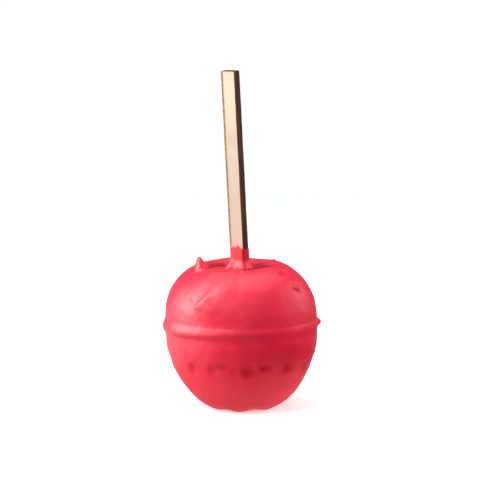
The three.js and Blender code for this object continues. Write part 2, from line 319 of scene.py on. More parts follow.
# Plain radius and height of the outer skin.
def outerPoint(station):
    basin = np.clip(station, 0, 1)
    down, out = quarter(station - stationEnds["basin"], apple["flankFullness"])
    belly = np.clip(station - stationEnds["flank"], 0, 1)
    outTop, up = quarter(station - stationEnds["belly"], apple["shoulderFullness"])
    where = [station < stationEnds[stretch] for stretch in ("basin", "flank", "belly")]
    radius = np.select(where, [
        apple["footRing"] * basin,
        mix(apple["footRing"], apple["radius"], out),
        apple["radius"] + apple["bellySwell"] * np.sin(math.pi * belly),
    ], mix(apple["rimRadius"], apple["radius"], outTop))
    height = np.select(where, [
        apple["basinDepth"] * (1 - basin ** 2) ** 2,
        apple["bellyLow"] * (1 - down),
        mix(apple["bellyLow"], apple["bellyHigh"], belly),
    ], mix(apple["bellyHigh"], apple["top"], up))
    return radius, height


def outerNormal(station):
    step = 0.002
    r0, z0 = outerPoint(np.maximum(station - step, 0))
    r1, z1 = outerPoint(np.minimum(station + step, stationEnds["shoulder"]))
    length = np.hypot(r1 - r0, z1 - z0)
    return (z1 - z0) / length, -(r1 - r0) / length


def sideRadius(z):
    if z > apple["bellyHigh"]:
        up = min((z - apple["bellyHigh"]) / (apple["top"] - apple["bellyHigh"]), 1)
        out = (1 - up ** apple["shoulderFullness"]) ** (1 / apple["shoulderFullness"])
        return mix(apple["rimRadius"], apple["radius"], out)
    if z < apple["bellyLow"]:
        down = 1 - z / apple["bellyLow"]
        out = (1 - down ** apple["flankFullness"]) ** (1 / apple["flankFullness"])
        return mix(apple["footRing"], apple["radius"], out)
    return apple["radius"]


def skinPoint(azimuth, height):
    radius = sideRadius(height)
    return np.array([radius * cosDeg(azimuth), radius * sinDeg(azimuth), height])


# Where points lie across and up from the middle of a patch on the apple's side.
def onPatch(plain, azimuth, height):
    slope = sideRadius(height + 0.2) - sideRadius(height - 0.2)
    middle = skinPoint(azimuth, height)
    across = np.array([-sinDeg(azimuth), cosDeg(azimuth), 0])
    up = np.array([slope * cosDeg(azimuth), slope * sinDeg(azimuth), 0.4])
    up /= np.linalg.norm(up)
    offset = plain - middle
    return offset @ across, offset @ up, np.linalg.norm(offset, axis=1)


def dimpleList():
    spots = list(dimples["front"])
    draw = np.random.default_rng(dimples["seed"])
    ranges = dimples["draws"]
    for i in range(dimples["others"]):
        spots.append((
            dimples["firstOther"] + dimples["spacing"] * i + draw.uniform(*ranges["azimuth"]),
            dimples["height"] + draw.uniform(*ranges["height"]),
            draw.uniform(*ranges["halfWidth"]),
            draw.uniform(*ranges["halfHeight"]),
            dimples["depth"] * draw.uniform(*ranges["depth"]),
            draw.uniform(*ranges["wall"]),
        ))
    return spots


# Each dimple has a firm wall on one side and fades out towards the other. The second
# value is the painted shade in it and round it.
def dimpleRelief(plain):
    depth = np.zeros(len(plain))
    thin = np.zeros(len(plain))
    uneven = 1 + dimples["unevenness"] * ripple(*plain.T, *dimples["unevenWaves"])
    shiftX, shiftY = dimples["spotMiddle"]
    coreShare, coreReach, steepness = dimples["spotCore"]
    haloShare, haloReach = dimples["spotHalo"]
    for azimuth, height, halfWidth, halfHeight, deep, direction in dimpleList():
        across, up, away = onPatch(plain, azimuth, height)
        x, y = across / halfWidth, up / halfHeight
        fromMiddle = np.hypot(x, y) * uneven
        wallward = x * cosDeg(direction) + y * sinDeg(direction)
        firm = np.clip(wallward / (fromMiddle + 0.05), 0, 1)
        inside = 1 - smoothStep(fromMiddle, dimples["wall"] * firm, dimples["edge"])
        depth = np.maximum(depth, deep * np.where(away < dimples["reach"], inside, 0))
        offCentre = np.hypot(x - shiftX, y - shiftY) * uneven
        core = coreShare * bump((offCentre / coreReach) ** steepness)
        spot = (core + haloShare * bump(offCentre / haloReach)) * min(deep / dimples["fullDepth"], 1)
        thin = np.maximum(thin, np.where(away < dimples["reach"], spot, 0))
    return -depth, thin


# Shallow spots, also with the painted shade in them.
def blemishRelief(plain):
    relief = np.zeros(len(plain))
    for azimuth, height, halfWidth, halfHeight, deep in blemishes:
        across, up, away = onPatch(plain, azimuth, height)
        x, y = across / halfWidth, up / halfHeight
        pit = np.exp(-(x * x + y * y) ** blemishForm["steepness"])
        relief -= deep * np.where(away < blemishForm["reach"], pit, 0)
    return relief, blemishForm["thinness"] * np.clip(-relief / blemishForm["fullDepth"], 0, 1)


# Each crease follows a bent line over three places and thins out towards its ends. The
# second value is the painted shade along it.
def creaseRelief(plain):
    relief = np.zeros(len(plain))
    thin = np.zeros(len(plain))
    for places, halfWidth, rise, raggedness, thinness in creases:
        start, middle, end = (skinPoint(*place) for place in places)
        bend = 2 * middle - (start + end) / 2
        near = np.flatnonzero(np.linalg.norm(plain - middle, axis=1) < creaseForm["reach"])
        nearest = np.full(len(near), 1e3)
        share = np.zeros(len(near))
        for t in np.linspace(0, 1, creaseForm["places"]):
            place = (1 - t) ** 2 * start + 2 * t * (1 - t) * bend + t * t * end
            away = np.linalg.norm(plain[near] - place, axis=1)
            share = np.where(away < nearest, t, share)
            nearest = np.minimum(nearest, away)
        taper = creaseForm["taper"]
        ends = smoothStep(share, 0, taper) * (1 - smoothStep(share, 1 - taper, 1))
        ragged = 1 - raggedness + raggedness * ripple(*plain[near].T, *creaseForm["raggedWaves"])
        line = ends * bump(nearest / halfWidth) * np.clip(ragged, 0, creaseForm["raggedMost"])
        relief[near] += rise * line
        thin[near] = np.maximum(thin[near], thinness * line)
    return relief, thin


# The V: the coat swells up to its right arm, which ends in a narrow lip.
def dentRelief(plain):
    across, up, away = onPatch(plain, dent["azimuth"], dent["height"])
    swell = np.zeros(len(plain))
    for arm, middle, within, beyond, rise, start, fade in dent["ridges"]:
        along = across * cosDeg(arm) + up * sinDeg(arm)
        fromRidge = up * cosDeg(arm) - across * sinDeg(arm) - middle
        length = smoothStep(along, *start) * (1 - smoothStep(along, *fade))
        swell += rise * length * bump(fromRidge / np.where(fromRidge > 0, within, beyond))
    return np.where(away < dent["reach"], swell, 0)


# The thicker upper coat swells into the band and ends in a lip under its crest.
def bandRelief(azimuth, z):
    crest = band["height"] + band["tilt"] * cosDeg(azimuth - band["highest"])
    fromCrest = z - crest
    share = (0.5 + 0.5 * cosDeg(azimuth - band["fullest"])) ** band["drop"]
    proud = mix(band["proudLeast"], band["proudMost"], share)
    swell = proud * bump(fromCrest / np.where(fromCrest > 0, band["above"], band["below"]))
    below = smoothStep(-fromCrest, 0, band["lipWidth"])
    below = below * np.exp(-np.maximum(-fromCrest, 0) / band["lipFade"])
    lipShare = bump(turnBetween(band["lipMiddle"], azimuth) / band["lipReach"])
    lip = band["lip"] * mix(band["lipLeast"], 1, lipShare) * below
    return swell - lip


def runRelief(azimuth, z):
    relief = np.zeros_like(z)
    for middle, lowest, highest, halfWidth, rise in runs:
        across = np.radians(turnBetween(middle, azimuth)) * apple["radius"]
        ends = smoothStep(z, lowest - runTaper, lowest + runTaper)
        ends = ends * (1 - smoothStep(z, highest - runTaper, highest + runTaper))
        relief += rise * ends * bump(across / halfWidth)
    return relief


def undulation(azimuth, z):
    turn = np.radians(azimuth)
    relief = np.zeros_like(z)
    for count, high, twist, start in coat["waves"]:
        relief += high * np.sin(count * turn + twist * z + start)
    for where, height, reachRound, reachUp, rise in apple["swells"]:
        share = bump(turnBetween(where, azimuth) / reachRound) * bump((z - height) / reachUp)
        relief += rise * share
    return relief


def nubRelief(plain):
    lift = np.zeros(len(plain))
    for azimuth, height, radius, rise, foot in nubs:
        _, _, away = onPatch(plain, azimuth, height)
        away = away / radius
        raised = softPositive(rise * (1 - away ** nubForm["steepness"]), foot)
        lift = np.maximum(lift, np.where(away < nubForm["reach"], raised, 0))
    return lift


# The peak is steeper down the shoulder than towards the rim.
def peakLift(points):
    turn = peak["azimuth"]
    outward = points[:, 0] * cosDeg(turn) + points[:, 1] * sinDeg(turn) - peak["distance"]
    across = points[:, 1] * cosDeg(turn) - points[:, 0] * sinDeg(turn)
    outward = np.where(outward > 0, outward * peak["steeper"], outward)
    away = np.hypot(outward, across) / peak["radius"]
    raised = softPositive(peak["rise"] * (1 - away ** 2), peak["foot"])
    return np.where((away < peak["reach"]) & (points[:, 2] > apple["bellyHigh"]), raised, 0)


def frontFold(azimuth, height):
    middle, halfWidth, depth = apple["fold"]
    reach = smoothStep(height, *apple["foldReach"])
    return -depth * reach * bump(turnBetween(middle, azimuth) / halfWidth)


def rimLobesAt(azimuth):
    rise = np.zeros_like(azimuth)
    reach = np.zeros_like(azimuth)
    for middle, up, out in apple["rimLobes"]:
        share = bump(turnBetween(middle, azimuth) / apple["rimLobeWidth"])
        rise += up * share
        reach += out * share
    return rise - apple["rimLobeMean"][0], reach - apple["rimLobeMean"][1]


def baseValley(azimuth):
    lobe = sum(bump(turnBetween(m, azimuth) / apple["baseLobeWidth"]) for m in apple["baseLobes"])
    return 1 - np.minimum(lobe, 1)


# The outer skin as points, with how much each stands on a nub and the painted shade in
# its dimples, pits and creases.
def outerSkin(station, azimuth):
    radius, height = outerPoint(station)
    normalOut, normalUp = outerNormal(station)
    plain = np.stack([radius * cosDeg(azimuth), radius * sinDeg(azimuth), height], axis=1)
    side = smoothStep(height, *apple["reliefStart"]) * (station > stationEnds["basin"])
    nub = nubRelief(plain)
    relief = bandRelief(azimuth, height) + undulation(azimuth, height)
    relief += frontFold(azimuth, height) + runRelief(azimuth, height)
    dimpled, thin = dimpleRelief(plain)
    blemished, pitShade = blemishRelief(plain)
    creased, creaseShadeOrStretched = creaseRelief(plain)
    # painted shade in the dimples, pits and creases
    thin = np.maximum(thin, np.maximum(pitShade, creaseShadeOrStretched))
    relief += dentRelief(plain) + dimpled + blemished + creased + nub
    for seed, shortest, longest, high in coat["ripples"]:
        relief += high * ripple(*plain.T, seed, shortest, longest)
    relief *= side
    rise, reach = rimLobesAt(azimuth)
    nearRim = smoothStep(height, apple["rimStart"], apple["top"]) * (station > stationEnds["belly"])
    valley = baseValley(azimuth)
    nearBase = 1 - smoothStep(height, 0, apple["baseLobeHeight"])
    underEdge = smoothStep(radius, apple["valleyStart"], apple["footRing"])
    shift = apple["footShift"] * (1 - smoothStep(height, 0, apple["bellyLow"]))
    out = radius + normalOut * relief + reach * nearRim
    out -= apple["valleyPinch"] * valley * nearBase * underEdge
    z = height + normalUp * relief + rise * nearRim
    z += apple["valleyRise"] * valley * underEdge * nearBase
    z -= apple["sink"] * (1 - smoothStep(height, 0, apple["sinkReach"]))
    z = np.maximum(z, 0)
    points = np.stack([out * cosDeg(azimuth) + shift, out * sinDeg(azimuth), z], axis=1)
    onNub = np.clip(nub / nubForm["fullColour"], 0, 1) ** nubForm["steepness"]
    return points, onNub, thin * side


def stickMiddleX(z):
    return stick["crossingX"] - (z - stick["crossingZ"]) * math.tan(math.radians(stick["lean"]))


# Rings round the stick at a height, a distance off its faces.
def roundStick(azimuth, z, offset, sharpness):
    halfWidth = stick["width"] / 2 + offset
    halfDepth = stick["thickness"] / 2 + offset
    local = azimuth - stick["turn"]
    reach = (np.abs(cosDeg(local)) / halfWidth) ** sharpness
    reach = (reach + (np.abs(sinDeg(local)) / halfDepth) ** sharpness) ** (-1 / sharpness)
    return np.stack([stickMiddleX(z) + reach * cosDeg(azimuth), reach * sinDeg(azimuth), z], axis=1)


def wellFloor(azimuth):
    floor = np.full_like(azimuth, apple["top"] - collar["wellDepth"])
    for middle, halfWidth, rise in collar["webs"]:
        floor += rise * bump(turnBetween(middle, azimuth) / halfWidth)
    return floor


def filmEdge(azimuth):
    edge = np.full_like(azimuth, collar["filmTop"])
    for middle, halfWidth, rise in collar["tongues"]:
        edge += rise * bump(turnBetween(middle, azimuth) / halfWidth)
    return edge


def filmThickness(azimuth):
    film = np.full_like(azimuth, collar["film"])
    for middle, halfWidth, change in collar["thicker"]:
        film += change * bump(turnBetween(middle, azimuth) / halfWidth)
    return film


# Below the film the coating spreads in a curve to meet the floor of the well.
def flareSkin(u, azimuth):
    floor = wellFloor(azimuth)
    z = mix(floor, collar["filmStart"], u)
    spread = np.full_like(azimuth, collar["flare"])
    for middle, halfWidth, more in collar["flares"]:
        spread += more * bump(turnBetween(middle, azimuth) / halfWidth)
    offset = filmThickness(azimuth) + spread * (collar["filmStart"] - z) ** 2
    sharpness = mix(collar["footSharpness"], collar["sharpness"], smoothStep(u, 0, 1))
    return roundStick(azimuth, z, offset, sharpness)


def wellSkin(u, azimuth):
    rim = outerSkin(np.full_like(azimuth, stationEnds["shoulder"]), azimuth)[0]
    foot = flareSkin(np.zeros_like(azimuth), azimuth)
    skin = mix(rim, foot, u[:, None])
    skin[:, 2] = mix(rim[:, 2], foot[:, 2], u * u * (3 - 2 * u))
    return skin


def socketSkin(station, azimuth):
    edge = filmEdge(azimuth)
    film = np.clip(station - stationEnds["flare"], 0, 1)
    lip = np.clip(station - stationEnds["film"], 0, 1)
    socket = np.clip(station - stationEnds["lip"], 0, 1)
    floor = np.clip(station - stationEnds["socket"], 0, 1)
    foot = stick["top"] - stick["length"] * math.cos(math.radians(stick["lean"]))
    depth = foot - collar["socketGap"]
    rounding = collar["lipRounding"] * collar["film"]
    z = mix(collar["filmStart"], edge - rounding, film)
    z = z + rounding * np.sin(math.pi * lip)
    z = mix(z, depth, socket)
    offset = mix(filmThickness(azimuth), collar["bite"], 0.5 - 0.5 * np.cos(math.pi * lip))
    points = roundStick(azimuth, z, offset, collar["sharpness"])
    middle = np.stack([stickMiddleX(z), np.zeros_like(z), z], axis=1)
    return mix(points, middle, floor[:, None])


# Painted shade: the coat is darkened over the well, most round the foot of the collar where
# shade falls, and along the corners of the stick. Over the scorched sides the film is darker too,
# partly the dark wood showing through and partly painted shade.
def collarShade(station, azimuth, z):
    wellFrom, wellTo = collar["wellFade"]
    footFrom, footTo = collar["footFade"]
    inWell = smoothStep(station, stationEnds["shoulder"] + wellFrom, stationEnds["shoulder"] + wellTo)
    up = smoothStep(station, stationEnds["well"] + footFrom, stationEnds["well"] + footTo)
    low = 1 - smoothStep(z, collar["footShadeTop"], collar["footShadeTop"] + collar["footShadeFade"])
    shade = inWell * np.maximum(collar["wellShade"] * (1 - up), low)
    corner = math.degrees(math.atan2(stick["thickness"], stick["width"]))
    fromSide = np.abs(turnBetween(0, 2 * (azimuth - stick["turn"]))) / 2
    sideFrom, sideTo = collar["cornerFade"]
    side = collar["sideShade"] * (1 - smoothStep(fromSide, corner + sideFrom, corner + sideTo))
    line = bump((fromSide - corner) / collar["cornerLine"])
    onFilm = smoothStep(station, stationEnds["well"] + collar["filmFade"], stationEnds["flare"])
    return np.maximum(shade, np.maximum(side, line) * onFilm)


def coatSkin(station, azimuth):
    points, onNub, thin = outerSkin(np.minimum(station, stationEnds["shoulder"]), azimuth)
    for start, skin in ((stationEnds["shoulder"], wellSkin), (stationEnds["well"], flareSkin)):
        here = (station > start) & (station <= start + 1)
        points[here] = skin(station[here] - start, azimuth[here])
    here = station > stationEnds["flare"]
    points[here] = socketSkin(station[here], azimuth[here])
    inCollar = station > stationEnds["shoulder"]
    paintedCollarShade = np.where(inCollar, collarShade(station, azimuth, points[:, 2]), 0)
    lift = np.where(station < peak["lastStation"], peakLift(points), 0)
    points[:, 2] += lift
    onPeak = smoothStep(lift / peak["rise"], peak["colourFrom"], 1)
    onNub[inCollar] = 0
    woodFrom, woodTo = collar["woodFade"]
    onWood = smoothStep(station, stationEnds["flare"] + woodFrom, stationEnds["flare"] + woodTo)
    # the first mask is a painted glow on the tips, the last two are painted shade
    masks = {
        "tipGlow": np.clip(onNub + onPeak, 0, 1),
        "onWood": onWood,
        "thin": np.where(inCollar, 0, thin),
        "paintedCollarShade": paintedCollarShade,
    }
    return points, masks


# Row stations by arc length, closer where there is fine relief.
def rowStations(rows):
    fine = np.linspace(0, stationEnds["socketFloor"], coat["rowSamples"])
    front = coatSkin(fine, np.full_like(fine, coat["rowsAlong"]))[0]
    steps = np.linalg.norm(np.diff(front, axis=0), axis=1)
    middle = (fine[1:] + fine[:-1]) / 2
    upTo = [middle < end for end, _ in coat["rowWeights"]]
    weight = np.select(upTo, [share for _, share in coat["rowWeights"]], coat["lastRowWeight"])
    travelled = np.concatenate([[0], np.cumsum(steps * weight)])
    return np.interp(np.linspace(0, travelled[-1], rows + 1), travelled, fine)


# Column azimuths, closer together where the fine relief is.
def columnAzimuths(turns):
    fromFront = np.radians(turnBetween(coat["closest"], turns))
    return coat["closest"] + np.degrees(fromFront - coat["closeness"] * np.sin(fromFront))


def meshObject(name, bm):
    mesh = bpy.data.meshes.new(name)
    bm.to_mesh(mesh)
    bm.free()
    piece = bpy.data.objects.new(name, mesh)
    bpy.context.scene.collection.objects.link(piece)
    return piece


# A line of points is spun into a unit tube, and each ring is then moved to its station.
def makeCoat():
    rows, columns = coat["rows"], coat["columns"]
    bm = bmesh.new()
    ends = [bm.verts.new((1, 0, 0)), bm.verts.new((1, 0, rows))]
    line = bm.edges.new(ends)
    bmesh.ops.subdivide_edges(bm, edges=[line], cuts=rows - 1)
    bmesh.ops.spin(
        bm, geom=bm.verts[:] + bm.edges[:], cent=(0, 0, 0), axis=(0, 0, 1),
        dvec=(0, 0, 0), angle=2 * math.pi, steps=columns, use_merge=True,
    )
    bm.verts.ensure_lookup_table()
    places = np.array([v.co[:] for v in bm.verts])
    stations = rowStations(rows)[np.rint(places[:, 2]).astype(int)]
    azimuths = columnAzimuths(np.degrees(np.arctan2(places[:, 1], places[:, 0])))
    points, masks = coatSkin(stations, azimuths)
    for i, vertex in enumerate(bm.verts):
        vertex.co = points[i] * mm
    for name, mask in masks.items():
        layer = bm.verts.layers.float.new(name)
        for i, vertex in enumerate(bm.verts):
            vertex[layer] = mask[i]
    bmesh.ops.remove_doubles(bm, verts=bm.verts[:], dist=coat["mergeWithin"] * mm)
    bmesh.ops.recalc_face_normals(bm, faces=bm.faces[:])
    for face in bm.faces:
        face.smooth = True
    return meshObject("appleCoat", bm)


# The stick starts as a bar, gets its edges and cuts, and is then stood in the apple.
def makeStick():
    bm = bmesh.new()
    bmesh.ops.create_cube(bm, size=1)
    size = (stick["width"], stick["thickness"], stick["length"])
    bmesh.ops.scale(bm, vec=size, verts=bm.verts[:])
    bmesh.ops.translate(bm, vec=(0, 0, stick["length"] / 2), verts=bm.verts[:])
    bmesh.ops.bevel(
        bm, geom=bm.edges[:], offset=stick["bevel"], offset_type="OFFSET",
        segments=3, profile=0.5, affect="EDGES", material=-1,
    )
    for height in np.arange(stick["cutEvery"], stick["length"] - 1, stick["cutEvery"]):
        cut = bm.verts[:] + bm.edges[:] + bm.faces[:]
        bmesh.ops.bisect_plane(bm, geom=cut, plane_co=(0, 0, height), plane_no=(0, 0, 1))
    for cutX in stick["cutsAcross"]:
        cut = bm.verts[:] + bm.edges[:] + bm.faces[:]
        bmesh.ops.bisect_plane(bm, geom=cut, plane_co=(cutX, 0, 0), plane_no=(1, 0, 0))
    bm.verts.ensure_lookup_table()
    local = np.array([v.co[:] for v in bm.verts])
    onEdge = np.abs(local[:, 0]) > stick["width"] / 2 - stick["bevel"] * 1.01
    creaseShadeOrStretched = local * stick["wanderStretch"]
    wander = ripple(*creaseShadeOrStretched.T, *stick["wanderWaves"]) * stick["wander"]
    moved = local.copy()
    moved[:, 0] += np.where(onEdge, wander, 0)
    stand = Matrix.Rotation(-math.radians(stick["lean"]), 4, "Y")
    stand = stand @ Matrix.Rotation(math.radians(stick["turn"]), 4, "Z")
    foot = stick["top"] - stick["length"] * math.cos(math.radians(stick["lean"]))
    stand = Matrix.Translation((stickMiddleX(foot), 0, foot)) @ stand
    placeLayer = bm.verts.layers.float_vector.new("stickPlace")
    for i, vertex in enumerate(bm.verts):
        vertex[placeLayer] = local[i] * mm
        vertex.co = (stand @ Vector(moved[i])) * mm
    bmesh.ops.recalc_face_normals(bm, faces=bm.faces[:])
    for face in bm.faces:
        face.smooth = True
    return meshObject("appleStick", bm)


# Node helpers.
def newMaterial(name):
    material = bpy.data.materials.new(name)
    material.use_nodes = True
    tree = material.node_tree
    return material, tree, tree.nodes["Principled BSDF"]


def addNode(tree, kind, settings=None, **inputs):
    node = tree.nodes.new(kind)
    for key, value in (settings or {}).items():
        setattr(node, key, value)
    for key, value in inputs.items():
        socket = node.inputs[int(key[1:])] if key[0] == "i" and key[1:].isdigit() else node.inputs[key]
        if isinstance(value, bpy.types.NodeSocket):
            tree.links.new(value, socket)
        else:
            socket.default_value = value
    return node


def mixColours(tree, share, a, b, blend="MIX"):
    node = addNode(tree, "ShaderNodeMix", {"data_type": "RGBA", "blend_type": blend})
    for socket, value in ((node.inputs[0], share), (node.inputs[6], a), (node.inputs[7], b)):
        if isinstance(value, bpy.types.NodeSocket):
            tree.links.new(value, socket)
        else:
            socket.default_value = value
    return node.outputs[2]


def remap(tree, value, low, high, newLow=0.0, newHigh=1.0):
    node = addNode(tree, "ShaderNodeMapRange", {"interpolation_type": "SMOOTHSTEP"}, Value=value)
    for key, number in (("From Min", low), ("From Max", high), ("To Min", newLow), ("To Max", newHigh)):
        node.inputs[key].default_value = number
    return node.outputs["Result"]


def calculate(tree, operation, a, b=0.0):
    return addNode(tree, "ShaderNodeMath", {"operation": operation}, i0=a, i1=b).outputs[0]


def readAttribute(tree, name, output="Fac"):
    return addNode(tree, "ShaderNodeAttribute", {"attribute_name": name}).outputs[output]


# Shared effect: a soft blotchy mask with named ends.
def makeBlotchGroup():
    group = bpy.data.node_groups.new("softBlotches", "ShaderNodeTree")
    for name, kind in (("Place", "NodeSocketVector"), ("Scale", "NodeSocketFloat"),
                       ("Detail", "NodeSocketFloat"), ("Low", "NodeSocketFloat"),
                       ("High", "NodeSocketFloat")):
        group.interface.new_socket(name=name, in_out="INPUT", socket_type=kind)
    group.interface.new_socket(name="Mask", in_out="OUTPUT", socket_type="NodeSocketFloat")
    ends = addNode(group, "NodeGroupInput")
    noise = addNode(group, "ShaderNodeTexNoise", Vector=ends.outputs["Place"],
                    Scale=ends.outputs["Scale"], Detail=ends.outputs["Detail"])
    spread = addNode(group, "ShaderNodeMapRange", {"interpolation_type": "SMOOTHSTEP"},
                     Value=noise.outputs["Fac"])
    group.links.new(ends.outputs["Low"], spread.inputs["From Min"])
    group.links.new(ends.outputs["High"], spread.inputs["From Max"])
    out = addNode(group, "NodeGroupOutput")
    group.links.new(spread.outputs["Result"], out.inputs["Mask"])
    return group


blotchGroup = makeBlotchGroup()


def blotches(tree, place, scale, detail, low, high):
    node = addNode(tree, "ShaderNodeGroup", {"node_tree": blotchGroup})
    tree.links.new(place, node.inputs["Place"])
    for key, number in (("Scale", scale), ("Detail", detail), ("Low", low), ("High", high)):
        node.inputs[key].default_value = number
    return node.outputs["Mask"]


coating = {
    "deep": (0.76, 0.012, 0.045, 1),
    "pale": (0.8, 0.016, 0.051, 1),
    # painted glow: a lighter, warmer red where light shines through the tips of the peak and nubs
    "tipGlow": (0.88, 0.012, 0.03, 1),
    "onWood": (0.72, 0.01, 0.026, 1),
    "thin": (0.7, 0.0, 0.02, 1),  # painted shade in the dimples, pits and creases
    "thinShare": 0.75,
    "paintedCollarShade": (0.54, 0.004, 0.026, 1),  # painted shade in the well and along the corners of the collar
    "highlightShadeShare": 0.6,  # how far the highlights in the painted shade take the coat's own red
    "roughness": (0.43, 0.53),
    "broad": (55, 2, 0.35, 0.68),  # blotches: scale, detail, low and high end
    "fine": (900, 3, 0.3, 0.7),
    "grain": (1500, 2, 0.2, 0.8),
    "lumps": (260, 1, 0.2, 0.8),
    "grainShare": 0.35,
    "lumpShare": 0.7,
    "bumpStrength": 0.35,
    "bumpHeight": 0.00025,
    "glowWeight": 0.15,  # light let a little way into the coat
    "glowRadius": (1.0, 0.25, 0.18),
    "glowScale": 0.0015,
}


def makeCoatingMaterial():
    material, tree, shader = newMaterial("satinCandyCoating")
    place = addNode(tree, "ShaderNodeTexCoord").outputs["Object"]
    broad = blotches(tree, place, *coating["broad"])
    fine = blotches(tree, place, *coating["fine"])
    colour = mixColours(tree, broad, coating["deep"], coating["pale"])
    # painted glow on the tips of the peak and nubs
    colour = mixColours(tree, readAttribute(tree, "tipGlow"), colour, coating["tipGlow"])
    colour = mixColours(tree, readAttribute(tree, "onWood"), colour, coating["onWood"])
    # painted shade: in the well and round the collar, then in the dimples, pits and creases
    colour = mixColours(tree, readAttribute(tree, "paintedCollarShade"), colour, coating["paintedCollarShade"])
    thin = readAttribute(tree, "thin")
    thinned = calculate(tree, "MULTIPLY", thin, coating["thinShare"])
    colour = mixColours(tree, thinned, colour, coating["thin"])
    tree.links.new(colour, shader.inputs["Base Color"])
    # a metallic share in the painted shade tints its highlights red instead of pink, painted shade on the
    # reflections
    highlightShade = calculate(tree, "MAXIMUM", thin, readAttribute(tree, "paintedCollarShade"))
    tree.links.new(calculate(tree, "MULTIPLY", highlightShade, coating["highlightShadeShare"]), shader.inputs["Metallic"])
    low, high = coating["roughness"]
    tree.links.new(remap(tree, fine, 0, 1, low, high), shader.inputs["Roughness"])
    grain = blotches(tree, place, *coating["grain"])
    lumps = blotches(tree, place, *coating["lumps"])
    lumps = calculate(tree, "MULTIPLY", lumps, coating["lumpShare"])
    grain = calculate(tree, "MULTIPLY", grain, coating["grainShare"])
    relief = addNode(tree, "ShaderNodeBump", Strength=coating["bumpStrength"],
                     Distance=coating["bumpHeight"], Height=calculate(tree, "ADD", lumps, grain))
    tree.links.new(relief.outputs["Normal"], shader.inputs["Normal"])
    shader.inputs["Subsurface Weight"].default_value = coating["glowWeight"]
    shader.inputs["Subsurface Radius"].default_value = coating["glowRadius"]
    shader.inputs["Subsurface Scale"].default_value = coating["glowScale"]
    shader.inputs["IOR"].default_value = 1.5
    shader.inputs["Specular IOR Level"].default_value = 1.0
    return material


wood = {
    "face": (0.63, 0.5, 0.395, 1),
    "faceDull": (0.56, 0.43, 0.33, 1),
    "faceTop": (0.69, 0.59, 0.43, 1),
    "topReach": (0.09, 0.125),
    "faceLow": (0.59, 0.43, 0.345, 1),
    "lowReach": (0.05, 0.095),
    "stained": (0.64, 0.29, 0.26, 1),
    "stainReach": (0.0455, 0.0485),
    "golden": (0.36, 0.2, 0.08, 1),
    "goldenDull": (0.15, 0.075, 0.035, 1),
    "halo": (0.7, 0.49, 0.37, 1),
    "scorch": (0.032, 0.017, 0.012, 1),
    "ember": (0.09, 0.04, 0.027, 1),
    "corner": (0.17, 0.075, 0.045, 1),
    "topShare": 0.8,
    "stainShare": 0.6,
    "grainShare": 0.4,
    "cornerShare": 0.85,
    "lightEdge": (-1.0, -0.3),  # these reaches are millimetres from the edge or end
    "lightEnd": (-1.6, -0.7),
    "goldenEdge": (0.8, 1.7),
    "cornerEdge": (-0.8, -0.2),
    "cutEdge": (-0.24, -0.08),
    "cutEnd": (-0.3, -0.1),
    "stretch": (1, 1, 0.04),
    "grain": (700, 4, 0.32, 0.7),  # blotches: scale, detail, low and high end
    "patches": (120, 2, 0.35, 0.7),
    "flecks": (900, 2, 0.5, 0.62),
    "streaks": (1300, 3, 0.38, 0.62),
    "roughness": 0.62,
    "bumpStrength": 0.3,
    "bumpHeight": 0.0002,
}


def reachesFrom(place, reaches):
    return [place + reach * mm for reach in reaches]


